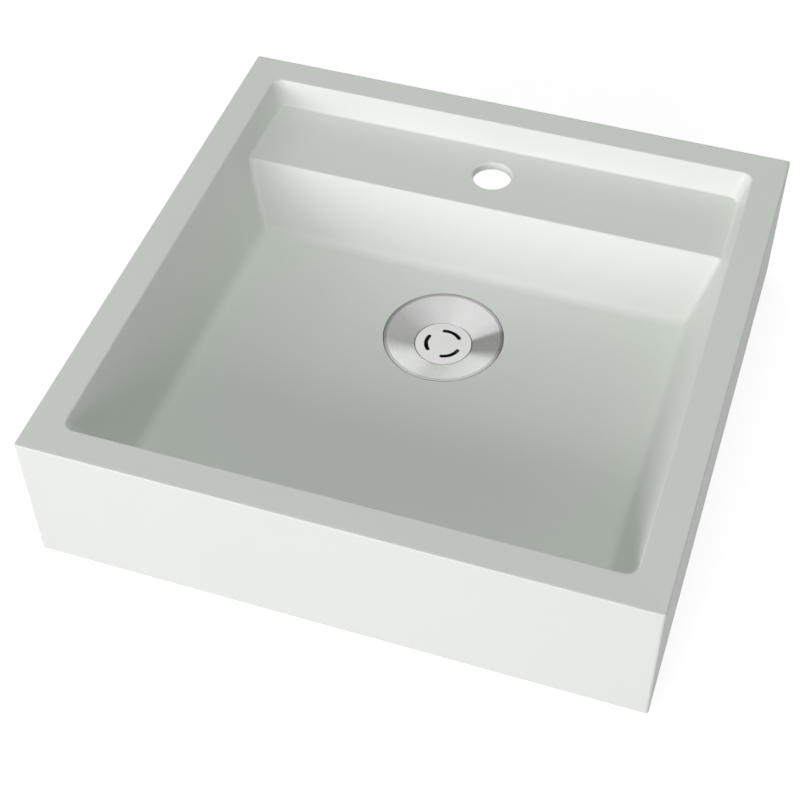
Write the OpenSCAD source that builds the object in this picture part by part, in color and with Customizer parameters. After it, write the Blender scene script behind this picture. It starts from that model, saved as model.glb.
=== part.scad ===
// Square stone-resin vessel basin with a sunken tap deck, and the waste that is screwed into its drain.
// Millimetres, +Z up. The origin is the middle of the base plane, on the counter. The tap deck is at +Y.

/* [Basin] */
// Outside width, along X
basin_w = 500; // [420:5:620]
// Outside depth, along Y
basin_d = 500; // [470:5:620]
// Height of the rim above the counter
basin_h = 130; // [118:1:180]
// Width of the flat rim
rim_w = 25; // [22:0.5:40]
// Radius of the upright outer corners
outer_corner_r = 2.5; // [1:0.5:12]
// Radius of the inner corners at the rim, seen from above
inner_corner_r = 10; // [7:0.5:20]
// Radius of the bowl's corners under the tap deck, seen from above
back_corner_r = 5; // [2:0.5:14]
// Radius that rounds the rim's inner edge and the deck's front edge
lip_r = 3; // [1.5:0.5:4.5]
// Lean of the side and front walls inside the bowl, in degrees from upright
wall_lean = 17; // [12:1:22]
// Thickness of the skirt round the hollow underside
skirt_t = 25; // [18:1:27]
// Radius of the corners of the hollow underside, seen from above
hollow_corner_r = 18; // [6:1:24]

/* [Tap deck] */
// Drop from the rim to the tap deck
deck_drop = 24; // [18:0.5:28]
// Distance from the back face to the deck's front edge
deck_depth = 111.5; // [106:0.5:122]
// Thickness of the deck at the tap hole
deck_t = 8; // [6:0.5:14]
// Radius between the deck and the walls round it
deck_foot_r = 2.5; // [1.5:0.5:6]
// Thickness of the wall between the bowl and the hollow under the deck
deck_wall_t = 10; // [8:1:14]
// Diameter of the tap hole
tap_hole_d = 35; // [30:0.5:38]
// Distance from the back face to the middle of the tap hole
tap_hole_back = 71; // [67:1:76]
// Chamfer round the top of the tap hole
tap_chamfer = 1; // [0.5:0.25:2]
// Width of the notch in the back skirt, where the tap's hoses go through
notch_w = 160; // [100:5:260]
// Height of that notch above the counter
notch_h = 76; // [60:1:84]
// Radius of the notch's upper corners
notch_r = 10; // [4:1:20]

/* [Bowl] */
// Height of the bowl's floor above the counter, at the drain
floor_h = 42; // [34:1:50]
// Rise of the floor from the drain to its front edge
front_rise = 4; // [1:0.5:6]
// Rise of the floor from the drain to its back edge
back_rise = 1; // [0.5:0.5:3]
// Width of the flat ring of floor round the drain flange
drain_land = 1; // [0.5:0.5:3]
// Thickness of the bowl's floor
floor_t = 14; // [10:1:16]
// Lean of the bowl's back wall, in degrees from upright
back_lean = 22; // [16:0.5:26]
// Radius between the walls and the floor
foot_r = 12; // [10:1:22]
// Radius of the corners of the flat floor, seen from above
floor_corner_r = 3; // [2:1:12]
// Distance from the back face to the middle of the drain
drain_back = 214; // [206:1:230]

/* [Drain flange] */
// Diameter of the dished flange
flange_d = 104; // [94:1:106]
// Width of the flat lip round the dish
flange_lip = 1.5; // [1:0.25:3]
// Depth of the dish, from the lip to the strainer
dish_drop = 9; // [7:0.5:11]
// Thickness of the pressed steel
sheet_t = 1.2; // [0.8:0.1:1.6]
// Depth of the cup that holds the strainer
cup_depth = 10; // [9:0.5:12]
// Gap round the flange in the basin
flange_gap = 0.4; // [0.3:0.1:1]
// Diameter of the water holes in the cup's web
web_hole_d = 9; // [6:0.5:9.5]
// Number of water holes in the cup's web
web_holes = 6; // [3:1:7]

/* [Strainer] */
// Diameter of the strainer's cover plate
cover_d = 49.2; // [48:0.1:54]
// Thickness of the cover plate
cover_t = 1.5; // [1:0.1:2]
// Gap between the cover plate and its cup
cover_gap = 0.4; // [0.3:0.05:0.6]
// Radius of the middle line of the curved slots
slot_r = 15; // [13:0.5:16]
// Width of the slots
slot_w = 3.4; // [2:0.1:4]
// Angle between the centres of a slot's round ends
slot_angle = 62; // [40:1:80]
// Number of slots
slots = 3; // [2:1:3]
// Direction of the middle of the first slot, in degrees from +X
slot_turn = 72; // [0:1:119]
// Section diameter of the rubber grip ring
grip_section = 3; // [2.4:0.1:3.2]
// Gap between the grip ring and its cup
grip_gap = 0.35; // [0.3:0.05:0.5]
// Depth that the grip ring sinks into its groove
grip_sink = 1.7; // [1.2:0.1:2]
// Height of the groove over that of the grip ring
groove_room = 1; // [0.4:0.1:1.2]
// Thickness of the carrier's wall behind the groove
carrier_wall = 2.6; // [2:0.1:3]

/* [Clamping screw] */
// Thread diameter of the screw
screw_d = 6; // [5:0.5:6]
// Length of the screw under its head
screw_len = 30; // [29:1:34]
// Diameter of the screw's head
screw_head_d = 10; // [9:0.5:11]
// Height of the screw's head
screw_head_h = 3.5; // [3:0.25:4]
// Width across the flats of the hexagon socket
socket_af = 4; // [3:0.5:5]
// Depth of the hexagon socket
socket_depth = 2.2; // [1.5:0.1:2.5]
// Clearance hole round the screw
screw_hole_d = 6.6; // [6.4:0.1:7]
// Diameter of the sealing washer
washer_d = 14; // [12:0.5:16]
// Thickness of the sealing washer
washer_t = 1; // [0.8:0.1:1.5]
// Outside diameter of the brass insert
insert_d = 10; // [9:0.5:11]
// Length of the brass insert
insert_len = 12; // [10:1:14]
// Length of the screw that comes out below the insert
screw_past = 3; // [2.5:0.5:4]

/* [Waste body] */
// Outside diameter of the outlet, a G 1 1/4 thread
outlet_d = 41.91; // [32:0.01:48]
// Length of the threaded outlet
outlet_len = 38; // [25:1:60]
// Wall of the waste body
body_wall = 3; // [2.5:0.1:3.4]
// Thickness of the basin between the drain seat and the body's gasket
boss_t = 13; // [10:0.5:14]
// Width of that boss outside the collar
boss_margin = 6; // [2:0.5:10]
// Diameter of the collar under the basin
collar_d = 90; // [84:1:100]
// Thickness of the collar
collar_t = 4; // [3:0.5:6]
// Height of the funnel under the collar
funnel_h = 17; // [15:1:26]
// Length of the cup that the neck covers
neck_cover = 4; // [2:0.5:6]
// Gap between the cup and the neck round it
neck_gap = 0.5; // [0.3:0.1:1]
// Gap between the neck and the hole in the basin
hole_gap = 0.7; // [0.4:0.1:2]
// Number of ribs that carry the screw's boss
spider_ribs = 3; // [3:1:4]
// Direction of the first of those ribs, in degrees from +X
rib_turn = 30; // [0:1:120]
// Thickness of those ribs
rib_t = 3; // [2:0.5:4]
// Height of those ribs
rib_h = 9; // [6:1:10]
// Drop from the top of the screw's boss to the ribs
rib_drop = 2; // [1:0.5:3]
// Wall of the screw's boss round the insert
insert_wall = 3; // [2:0.5:4]
// Depth of the screw's boss below the insert
boss_past = 2; // [1:0.5:2]
// Number of gussets under the collar
gussets = 6; // [3:1:8]
// Thickness of the gussets
gusset_t = 2.4; // [2:0.1:3]
// Distance from the collar's edge to the gussets
gusset_set_in = 3; // [1:0.5:6]
// Height of the gussets at their outer ends
gusset_tip = 1.5; // [0.5:0.5:4]

/* [Seals] */
// Thickness of the gasket under the flange
flange_gasket_t = 1.5; // [1:0.1:2]
// Width of basin seat left bare inside that gasket
gasket_set_in = 2; // [1:0.5:5]
// Thickness of the gasket on the waste body's collar
body_gasket_t = 3; // [2:0.5:4]
// Distance from the collar's edge to that gasket
body_gasket_set_in = 1; // [0.5:0.5:4]
// Gap left between pieces that seat on each other
seat_gap = 0.1; // [0.05:0.05:0.15]

/* [Hidden] */

$fn = 96;
// Steps in the loft's corners and rounded edges and in the slots, the straight between two of the drain
// ring's arcs, and how far a cut or a join runs past a face
corner_steps = 8;
lip_steps = 4;
foot_steps = 5;
slot_steps = 16;
slot_end_steps = 8;
ring_straight = 1;
over = 1;

// The plan: halves, and distances from the back face turned into Y
half_w = basin_w / 2;
half_d = basin_d / 2;
inner_x = half_w - rim_w;
inner_y = half_d - rim_w;
deck_z = basin_h - deck_drop;
deck_front_y = half_d - deck_depth;
tap_y = half_d - tap_hole_back;
drain_y = half_d - drain_back;
floor_edge_z = floor_h + front_rise;
hollow_x = half_w - skirt_t;
hollow_y = half_d - skirt_t;
hollow_z = floor_h - floor_t;

// The dish of the flange: where its cone starts and ends, its fall, and how a thickness measures upright on it
flange_r = flange_d / 2;
dish_r = flange_r - flange_lip;
cup_r = cover_d / 2 + cover_gap;
cup_out_r = cup_r + sheet_t;
dish_fall = dish_drop / (dish_r - cup_r);
upright = sqrt(1 + dish_fall * dish_fall);
sheet_v = sheet_t * upright;
seal_top_v = sheet_v + seat_gap;
seal_bottom_v = seal_top_v + flange_gasket_t * upright;
seat_v = seal_bottom_v + seat_gap;

// The waste's stack, from the strainer down
cover_z = floor_h - dish_drop;
web_z = cover_z - cup_depth;
web_under_z = web_z - sheet_t;
neck_top_z = web_under_z + neck_cover;
neck_r = cup_out_r + neck_gap;
neck_out_r = neck_r + body_wall;
drain_hole_r = neck_out_r + hole_gap;
boss_z = dish_z(drain_hole_r) - seat_v - boss_t;
collar_r = collar_d / 2;
boss_r = collar_r + boss_margin;
gasket_z = boss_z - seat_gap;
collar_z = gasket_z - body_gasket_t - seat_gap;
collar_under_z = collar_z - collar_t;
pipe_z = collar_under_z - funnel_h;
outlet_z = pipe_z - outlet_len;
outlet_r = outlet_d / 2;
pipe_r = outlet_r - body_wall;
head_z = web_z + washer_t;
screw_end_z = head_z - screw_len;
insert_z = screw_end_z + screw_past;
insert_top_z = insert_z + insert_len;
screw_boss_z = insert_z - boss_past;
screw_boss_r = insert_d / 2 + insert_wall;
rib_z = insert_top_z - rib_drop;

// The strainer's carrier
carrier_h = cup_depth - cover_t;
grip_r = cup_r - grip_gap - grip_section / 2;
groove_r = cup_r - grip_gap - grip_section;
carrier_r = groove_r + grip_sink;
carrier_in_r = groove_r - carrier_wall;
groove_h = grip_section + groove_room;
groove_z = web_z + seat_gap + (carrier_h - seat_gap) / 2;

// Top of the dish at radius r from the drain's middle
function dish_z(r) = floor_h - max(0, dish_r - r) * dish_fall;

// Inside radius of the waste body at height z: neck, funnel, then pipe
function bore_r(z) = pipe_r + (neck_r - pipe_r) * min(1, max(0, (z - pipe_z) / (collar_under_z - pipe_z)));

// How far a wall stands in from its top edge at height z: round lip, leaning wall, then round foot
function wall_in(z, top, lean, bottom, foot) =
  let (
    lip_z = top - lip_r * (1 - sin(lean)),
    foot_z = bottom + foot * (1 - sin(lean)),
    lean_in = lip_r * cos(lean) + (lip_z - foot_z) * tan(lean)
  )
  z >= top ? 0
  : z > lip_z ? sqrt(lip_r * lip_r - pow(z - top + lip_r, 2))
  : z > foot_z ? lip_r * cos(lean) + (lip_z - z) * tan(lean)
  : lean_in + foot * cos(lean) - sqrt(max(0, foot * foot - pow(bottom + foot - z, 2)));

// Heights of the rings round a lip, from below it up to its top
function lip_levels(top, lean) =
  [for (i = [lip_steps:-1:0]) top - lip_r * (1 - cos(i / lip_steps * (90 - lean)))];

// Heights of the rings round a foot, from the floor up
function foot_levels(bottom, lean, foot) =
  [for (i = [0:foot_steps]) bottom + foot * (1 - cos(i / foot_steps * (90 - lean)))];

// One corner of a plan outline: a point where the radius is nothing, an arc elsewhere
function corner(x, y, r, turn) =
  r == 0 ? [[x, y]] : [for (i = [0:corner_steps])
    let (a = turn + 90 * i / corner_steps) [x + r * cos(a), y + r * sin(a)]];

// A plan outline from front to back, with its own radius at the front and at the back
function outline(x, front, back, front_r, back_r) = concat(
  corner(x - back_r, back - back_r, back_r, 0),
  corner(back_r - x, back - back_r, back_r, 90),
  corner(front_r - x, front + front_r, front_r, 180),
  corner(x - front_r, front + front_r, front_r, 270)
);

// Radius of the bowl's front corners at height z: it grows down the wall, then shrinks round the foot
foot_z = floor_edge_z + foot_r * (1 - sin(wall_lean));
function bowl_in(z) = wall_in(z, basin_h, wall_lean, floor_edge_z, foot_r);
function foot_in(z) = z < foot_z ? bowl_in(z) - bowl_in(foot_z) : 0;
function bowl_corner_r(z) =
  let (wall_r = floor_corner_r + foot_r * cos(wall_lean))
  z < foot_z ? wall_r - foot_in(z)
  : inner_corner_r + (wall_r - inner_corner_r) * max(0, basin_h - z) / (basin_h - foot_z);

// Radius of the bowl's back corners at height z: even down the wall, then it shrinks round the foot
function back_corner(z) =
  back_corner_r - max(0, back_corner_r - floor_corner_r) * foot_in(z) / (foot_r * cos(wall_lean));

// One ring of the bowl; round the foot the ring tips down towards the back, as the floor does
function bowl_ring(z) =
  let (
    side = bowl_in(z),
    front = side - inner_y,
    back = deck_front_y - wall_in(z, deck_z, back_lean, floor_edge_z, foot_r),
    tip = (front_rise - back_rise) * max(0, foot_z - z) / (foot_z - floor_edge_z)
  )
  [for (p = outline(inner_x - side, front, back, bowl_corner_r(z), back_corner(z)))
    [p[0], p[1], z - tip * (p[1] - front) / (back - front)]];

// The flat ring of floor round the drain
function drain_ring() =
  let (r = flange_r + flange_gap + drain_land, half = r + ring_straight / 2)
  [for (p = outline(half, drain_y - half, drain_y + half, r, r)) [p[0], p[1], floor_h]];

// One ring of the recess over the tap deck
function deck_ring(z) =
  let (
    side = wall_in(z, basin_h, wall_lean, deck_z, deck_foot_r),
    wall = wall_in(max(z, deck_z + deck_foot_r), basin_h, wall_lean, deck_z, 0),
    r = max(1, inner_corner_r - (side - wall))
  )
  [for (p = outline(inner_x - side, deck_front_y - foot_r, inner_y - side, 0, r)) [p[0], p[1], z]];

// A solid through a list of rings from the bottom up, each with the same number of points
module loft(rings) {
  n = len(rings[0]);
  last = len(rings) - 1;
  walls = [
    for (k = [0:last - 1]) for (i = [0:n - 1])
      let (a = k * n + i, b = k * n + (i + 1) % n)
      each [[a, a + n, b + n], [a, b + n, b]]
  ];
  polyhedron(
    points = [for (ring = rings) each ring],
    faces = concat([[for (i = [0:n - 1]) i]], walls, [[for (i = [n - 1:-1:0]) last * n + i]])
  );
}

// The hollow of the bowl, with a ring at the top of the deck's foot, where the recess over the deck joins it
module bowl_space() {
  levels = concat(
    foot_levels(floor_edge_z, wall_lean, foot_r),
    lip_levels(deck_z, back_lean),
    [deck_z + deck_foot_r * (1 - sin(wall_lean))],
    lip_levels(basin_h, wall_lean),
    [basin_h + over]
  );
  loft(concat([drain_ring()], [for (z = levels) bowl_ring(z)]));
}

// The recess over the tap deck, which runs forward into the bowl's hollow
module deck_space() {
  levels = concat(
    foot_levels(deck_z, wall_lean, deck_foot_r),
    lip_levels(basin_h, wall_lean),
    [basin_h + over]
  );
  loft([for (z = levels) deck_ring(z)]);
}

// The hollow underside: shallow under the bowl, round the drain's boss, and deep under the tap deck
module underside_space() {
  difference() {
    translate([0, 0, -over])
      linear_extrude(hollow_z + over)
        polygon(outline(hollow_x, -hollow_y, hollow_y, hollow_corner_r, hollow_corner_r));
    translate([0, drain_y, boss_z])
      cylinder(h = hollow_z - boss_z + over, r = boss_r);
  }
  translate([0, 0, -over])
    linear_extrude(deck_z - deck_t + over)
      polygon(outline(hollow_x, deck_front_y + deck_wall_t, hollow_y, hollow_corner_r, hollow_corner_r));
}

// What the basin loses under the flange: a rebate for the lip, a cone for the dish and the drain hole
module drain_space() {
  translate([0, drain_y, 0])
    rotate_extrude()
      polygon([
        [0, boss_z - over],
        [drain_hole_r, boss_z - over],
        [drain_hole_r, dish_z(drain_hole_r) - seat_v],
        [dish_r, floor_h - seat_v],
        [flange_r + flange_gap, floor_h - seat_v],
        [flange_r + flange_gap, floor_h + over],
        [0, floor_h + over]
      ]);
}

// The notch in the skirt behind the tap, open to the counter
module hose_notch() {
  side = notch_w / 2;
  translate([0, half_d + over, 0])
    rotate([90, 0, 0])
      linear_extrude(skirt_t + 2 * over)
        polygon(concat(
          [[-side, -over], [side, -over]],
          arc(side - notch_r, notch_h - notch_r, notch_r, 0, 90, corner_steps),
          arc(notch_r - side, notch_h - notch_r, notch_r, 90, 90, corner_steps)
        ));
}

module tap_hole() {
  translate([0, tap_y, 0]) {
    translate([0, 0, deck_z - deck_t - over])
      cylinder(h = deck_t + 2 * over, d = tap_hole_d);
    translate([0, 0, deck_z - tap_chamfer])
      cylinder(h = tap_chamfer + over, r1 = tap_hole_d / 2, r2 = tap_hole_d / 2 + tap_chamfer + over);
  }
}

module basin() {
  color([0.86, 0.88, 0.86])
    difference() {
      linear_extrude(basin_h)
        polygon(outline(half_w, -half_d, half_d, outer_corner_r, outer_corner_r));
      underside_space();
      bowl_space();
      deck_space();
      tap_hole();
      hose_notch();
      drain_space();
    }
}

// The pressed steel flange: lip, dish, and a cup whose web is drilled for water and for the screw
module drain_flange() {
  color([0.78, 0.78, 0.78])
    translate([0, drain_y, 0])
      difference() {
        rotate_extrude()
          polygon([
            [0, web_under_z],
            [cup_out_r, web_under_z],
            [cup_out_r, dish_z(cup_out_r) - sheet_v],
            [dish_r, floor_h - sheet_v],
            [flange_r, floor_h - sheet_v],
            [flange_r, floor_h],
            [dish_r, floor_h],
            [cup_r, cover_z],
            [cup_r, web_z],
            [0, web_z]
          ]);
        translate([0, 0, web_under_z - over]) {
          cylinder(h = sheet_t + 2 * over, d = screw_hole_d);
          for (i = [0:web_holes - 1])
            rotate([0, 0, 360 * (i + 0.5) / web_holes])
              translate([(washer_d / 2 + cup_r) / 2, 0, 0])
                cylinder(h = sheet_t + 2 * over, d = web_hole_d);
        }
      }
}

module flange_gasket() {
  inner_r = drain_hole_r + gasket_set_in;
  outer_r = flange_r - flange_gap;
  color([0.16, 0.16, 0.17])
    translate([0, drain_y, 0])
      rotate_extrude()
        polygon([
          [inner_r, dish_z(inner_r) - seal_bottom_v],
          [dish_r, floor_h - seal_bottom_v],
          [outer_r, floor_h - seal_bottom_v],
          [outer_r, floor_h - seal_top_v],
          [dish_r, floor_h - seal_top_v],
          [inner_r, dish_z(inner_r) - seal_top_v]
        ]);
}

// A curved slot with round ends, drawn flat round the origin: outer arc, round end, inner arc, round end
function arc(x, y, r, from, turn, steps) =
  [for (i = [0:steps]) let (a = from + turn * i / steps) [x + r * cos(a), y + r * sin(a)]];

module slot() {
  half = slot_angle / 2;
  end_x = slot_r * cos(half);
  end_y = slot_r * sin(half);
  polygon(concat(
    arc(0, 0, slot_r + slot_w / 2, -half, slot_angle, slot_steps),
    arc(end_x, end_y, slot_w / 2, half + 180 / slot_end_steps, 180 - 360 / slot_end_steps, slot_end_steps - 2),
    arc(0, 0, slot_r - slot_w / 2, half, -slot_angle, slot_steps),
    arc(end_x, -end_y, slot_w / 2, 180 - half + 180 / slot_end_steps, 180 - 360 / slot_end_steps, slot_end_steps - 2)
  ));
}

// The steel plate that shows in the middle of the drain
module strainer_cover() {
  color([0.83, 0.83, 0.83])
    translate([0, drain_y, cover_z - cover_t])
      linear_extrude(cover_t)
        difference() {
          circle(d = cover_d);
          for (i = [0:slots - 1])
            rotate(slot_turn + 360 * i / slots)
              slot();
        }
}

// The moulded ring under the plate, grooved for the grip ring
module strainer_carrier() {
  color([0.2, 0.2, 0.21])
    translate([0, drain_y, 0])
      rotate_extrude()
        polygon([
          [carrier_in_r, web_z + seat_gap],
          [carrier_r, web_z + seat_gap],
          [carrier_r, groove_z - groove_h / 2],
          [groove_r, groove_z - groove_h / 2],
          [groove_r, groove_z + groove_h / 2],
          [carrier_r, groove_z + groove_h / 2],
          [carrier_r, cover_z - cover_t],
          [carrier_in_r, cover_z - cover_t]
        ]);
}

module grip_ring() {
  color([0.1, 0.1, 0.1])
    translate([0, drain_y, groove_z])
      rotate_extrude()
        translate([grip_r + seat_gap / 2, 0])
          circle(d = grip_section - seat_gap, $fn = 32);
}

module clamp_screw() {
  color([0.75, 0.75, 0.76])
    translate([0, drain_y, head_z])
      difference() {
        union() {
          translate([0, 0, -screw_len])
            cylinder(h = screw_len + over, d = screw_d);
          cylinder(h = screw_head_h, d = screw_head_d);
        }
        translate([0, 0, screw_head_h - socket_depth])
          cylinder(h = socket_depth + over, d = socket_af / cos(30), $fn = 6);
      }
}

module screw_washer() {
  color([0.18, 0.18, 0.18])
    translate([0, drain_y, web_z])
      difference() {
        cylinder(h = washer_t, d = washer_d);
        translate([0, 0, -over])
          cylinder(h = washer_t + 2 * over, d = screw_hole_d);
      }
}

// The threaded brass insert that the screw pulls on
module thread_insert() {
  color([0.8, 0.65, 0.3])
    translate([0, drain_y, insert_z])
      difference() {
        cylinder(h = insert_len, d = insert_d - seat_gap);
        translate([0, 0, -over])
          cylinder(h = insert_len + 2 * over, d = screw_d + seat_gap);
      }
}

module body_gasket() {
  color([0.16, 0.16, 0.17])
    translate([0, drain_y, gasket_z - body_gasket_t])
      difference() {
        cylinder(h = body_gasket_t, r = collar_r - body_gasket_set_in);
        translate([0, 0, -over])
          cylinder(h = body_gasket_t + 2 * over, r = drain_hole_r);
      }
}

// A flat web that stands upright along a radius, with its outline given as radius and height
module radial_web(points, thickness) {
  rotate([90, 0, 0])
    translate([0, 0, -thickness / 2])
      linear_extrude(thickness)
        polygon(points);
}

// The moulded body below the basin: neck, collar, funnel and threaded outlet, with the screw's boss on ribs
module waste_body() {
  color([0.88, 0.88, 0.86])
    translate([0, drain_y, 0])
      difference() {
        union() {
          rotate_extrude()
            polygon([
              [pipe_r, outlet_z],
              [outlet_r, outlet_z],
              [outlet_r, pipe_z],
              [neck_out_r, collar_under_z],
              [collar_r, collar_under_z],
              [collar_r, collar_z],
              [neck_out_r, collar_z],
              [neck_out_r, neck_top_z],
              [neck_r, neck_top_z],
              [neck_r, collar_under_z],
              [pipe_r, pipe_z]
            ]);
          for (i = [0:gussets - 1])
            rotate([0, 0, 360 * i / gussets])
              radial_web([
                [bore_r(pipe_z) + body_wall / 2, pipe_z],
                [bore_r(collar_under_z) + body_wall / 2, collar_under_z + over],
                [collar_r - gusset_set_in, collar_under_z + over],
                [collar_r - gusset_set_in, collar_under_z - gusset_tip]
              ], gusset_t);
          for (i = [0:spider_ribs - 1])
            rotate([0, 0, rib_turn + 360 * i / spider_ribs])
              radial_web([
                [0, rib_z - rib_h],
                [bore_r(rib_z - rib_h) + body_wall / 2, rib_z - rib_h],
                [bore_r(rib_z) + body_wall / 2, rib_z],
                [0, rib_z]
              ], rib_t);
          translate([0, 0, screw_boss_z])
            cylinder(h = insert_top_z - screw_boss_z, r = screw_boss_r);
        }
        translate([0, 0, insert_z])
          cylinder(h = insert_len + over, d = insert_d);
        translate([0, 0, screw_boss_z - over])
          cylinder(h = boss_past + 2 * over, d = screw_hole_d);
      }
}

basin();
drain_flange();
flange_gasket();
strainer_cover();
strainer_carrier();
grip_ring();
clamp_screw();
screw_washer();
thread_insert();
body_gasket();
waste_body();
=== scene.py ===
# %% [markdown]
# # A square stone-resin basin and its drain
# The object is a square box with an open bowl, a sunken shelf for the tap at the back, and a steel
# drain in the floor. It is one thick casting of white marble resin, with a pressed steel flange, a
# lift-out strainer and a waste body that is screwed on from below. This notebook dresses the exact
# solids with the surfaces and finishes that the eye sees.

# %% Load the frame
import bpy
import bmesh
import numpy as np
from mathutils import Matrix


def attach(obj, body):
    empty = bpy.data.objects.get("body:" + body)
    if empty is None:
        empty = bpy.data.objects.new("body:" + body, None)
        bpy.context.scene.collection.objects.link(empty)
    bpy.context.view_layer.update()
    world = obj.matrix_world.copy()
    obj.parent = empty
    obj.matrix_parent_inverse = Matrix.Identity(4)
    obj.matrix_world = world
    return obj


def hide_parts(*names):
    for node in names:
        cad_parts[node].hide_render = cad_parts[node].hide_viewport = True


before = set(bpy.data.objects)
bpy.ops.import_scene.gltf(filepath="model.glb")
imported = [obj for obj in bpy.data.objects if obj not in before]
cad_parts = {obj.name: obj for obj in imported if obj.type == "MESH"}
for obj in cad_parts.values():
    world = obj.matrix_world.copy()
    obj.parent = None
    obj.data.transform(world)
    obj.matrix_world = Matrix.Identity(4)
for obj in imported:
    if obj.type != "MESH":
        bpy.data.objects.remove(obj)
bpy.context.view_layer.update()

# %% [markdown]
# ## Sizes
# All sizes are written in millimetres, as a drawing would give them, and are turned into metres when
# a mesh is made. They repeat the values that the solids were built from, so that every surface falls
# on its solid. Only the lip along the inner edges is tighter than the solid's, because the
# photograph's edges are crisp.

# %% Sizes of the basin
MM = 0.001
HALF = 250.0
RIM_Z = 130.0
INNER = 225.0
LIP_R = 1.6
SOLID_LIP_R = 3.0
WALL_LEAN = np.radians(17)
BACK_LEAN = np.radians(22)
CORNER_R = 10.0
BACK_CORNER_R = 5.0
DECK_Z = 106.0
DECK_FRONT = 138.5
DECK_FOOT = 2.5
FLOOR_Z = 42.0
FLOOR_EDGE_Z = 46.0
FLOOR_TIP = 3.0
FOOT_R = 12.0
FLOOR_CORNER_R = 3.0
TAP_Y = 179.0
TAP_R = 17.5
DRAIN_Y = 36.0
HOLLOW = 225.0
HOLLOW_R = 18.0
HOLLOW_Z = 28.0
POCKET_Z = 98.0
POCKET_FRONT = 148.5
BOSS_Z = 18.843
BOSS_R = 51.0
print("bowl at the rim:", 2 * INNER, "mm wide,", RIM_Z - FLOOR_Z, "mm deep")

# %% [markdown]
# The drain's sizes follow its section inwards: the flat lip, the dish, the cup and its drilled web. A
# height that ends in V is measured straight down through the sloping sheet.

# %% Sizes of the drain
FLANGE_R = 52.0
DISH_R = 50.5
DISH_DEPTH = 9.0
CUP_R = 25.0
CUP_DEPTH = 10.0
SHEET = 1.2
GASKET = 1.5
ROOM = 0.1
HOLE_R = 30.4
REBATE_R = 52.4
DISH_FALL = DISH_DEPTH / (DISH_R - CUP_R)
SHEET_V = SHEET * np.hypot(1, DISH_FALL)
SEAT_V = SHEET_V + ROOM + GASKET * np.hypot(1, DISH_FALL) + ROOM
COVER_Z = FLOOR_Z - DISH_DEPTH
WEB_Z = COVER_Z - CUP_DEPTH
print("drain:", 2 * FLANGE_R, "mm across, its seat", round(SEAT_V, 2), "mm below the dish")

# %% [markdown]
# ## From grids of points to a mesh
# Every new surface is worked out as a grid of points, a function of two parameters. Several grids make
# one piece: their seams hold the same points, so merging the doubles closes the skin. Blender's plain
# smooth shading bends the light over wide flats next to a small rounding. Weighing each corner's
# normal by the area of its faces keeps flats flat, and leaves the turn to the narrow rounding.

# %% Grids to one closed piece
MERGE, SLIVER = 2e-6, 1e-7
SHARP_TURN = np.radians(50)


def grid_faces(rows, cols, first):
    """Four-sided faces of a grid: each joins a point, its neighbour, and the same two in the next row."""
    a = first + np.arange(rows - 1)[:, None] * cols + np.arange(cols - 1)[None, :]
    return np.stack([a, a + 1, a + cols + 1, a + cols], -1).reshape(-1, 4)


def flat_normals(mesh):
    """Corner normals: the normals of the faces round a vertex, each times its area, are added up for each
    corner, without the faces that turn away from the corner's own face by more than a sharp turn."""
    count, corners = len(mesh.polygons), len(mesh.loops)
    normal, area = np.empty(count * 3, np.float32), np.empty(count, np.float32)
    total, vertex = np.empty(count, np.int32), np.empty(corners, np.int32)
    mesh.polygons.foreach_get("normal", normal)
    mesh.polygons.foreach_get("area", area)
    mesh.polygons.foreach_get("loop_total", total)
    mesh.loops.foreach_get("vertex_index", vertex)
    normal = normal.reshape(-1, 3)
    order = np.argsort(vertex, kind="stable")
    face = np.repeat(np.arange(count), total)[order]
    number = np.bincount(vertex, minlength=len(mesh.vertices))
    size = number[vertex[order]]
    first = (np.cumsum(number) - number)[vertex[order]]
    place = np.arange(corners) - first
    added = np.zeros((corners, 3))
    for step in range(number.max()):
        other = face[first + (place + step) % size]
        near = ((normal[face] * normal[other]).sum(1) > np.cos(SHARP_TURN)) & (step < size)
        added += normal[other] * (area[other] * near)[:, None]
    added /= np.maximum(np.linalg.norm(added, axis=1, keepdims=True), 1e-12)
    by_corner = np.empty_like(added)
    by_corner[order] = added
    mesh.normals_split_custom_set(by_corner.tolist())


def make_piece(name, grids, triangles=(), maps=None, by_area=True):
    """One mesh from grids of points in millimetres, with loose triangles as (points, index) pairs. Doubles
    are merged, faces are turned outwards, and a map of two numbers per point can be kept as the UV map."""
    points, faces, uvs, first = [], [], [], 0
    for k, grid in enumerate(grids):
        rows, cols = grid.shape[:2]
        points.append(grid.reshape(-1, 3))
        faces += grid_faces(rows, cols, first).tolist()
        uvs.append(maps[k].reshape(-1, 2) if maps else np.zeros((rows * cols, 2)))
        first += rows * cols
    for loose, index in triangles:
        points.append(loose)
        faces += (index + first).tolist()
        uvs.append(np.zeros((len(loose), 2)))
        first += len(loose)
    mesh = bpy.data.meshes.new(name)
    mesh.from_pydata((np.concatenate(points) * MM).tolist(), [], faces)
    vertex = np.empty(len(mesh.loops), np.int32)
    mesh.loops.foreach_get("vertex_index", vertex)
    layer = mesh.uv_layers.new(name="lay")
    layer.data.foreach_set("uv", np.concatenate(uvs)[vertex].astype(np.float32).ravel())
    work = bmesh.new()
    work.from_mesh(mesh)
    bmesh.ops.remove_doubles(work, verts=work.verts, dist=MERGE)
    bmesh.ops.dissolve_degenerate(work, edges=work.edges, dist=SLIVER)
    bmesh.ops.recalc_face_normals(work, faces=work.faces)
    open_edges = sum(not e.is_manifold for e in work.edges)
    work.to_mesh(mesh)
    work.free()
    mesh.shade_smooth()
    if by_area:
        flat_normals(mesh)
    piece = bpy.data.objects.new(name, mesh)
    bpy.context.scene.collection.objects.link(piece)
    print(name, "faces:", len(mesh.polygons), "open edges:", open_edges)
    return piece


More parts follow.
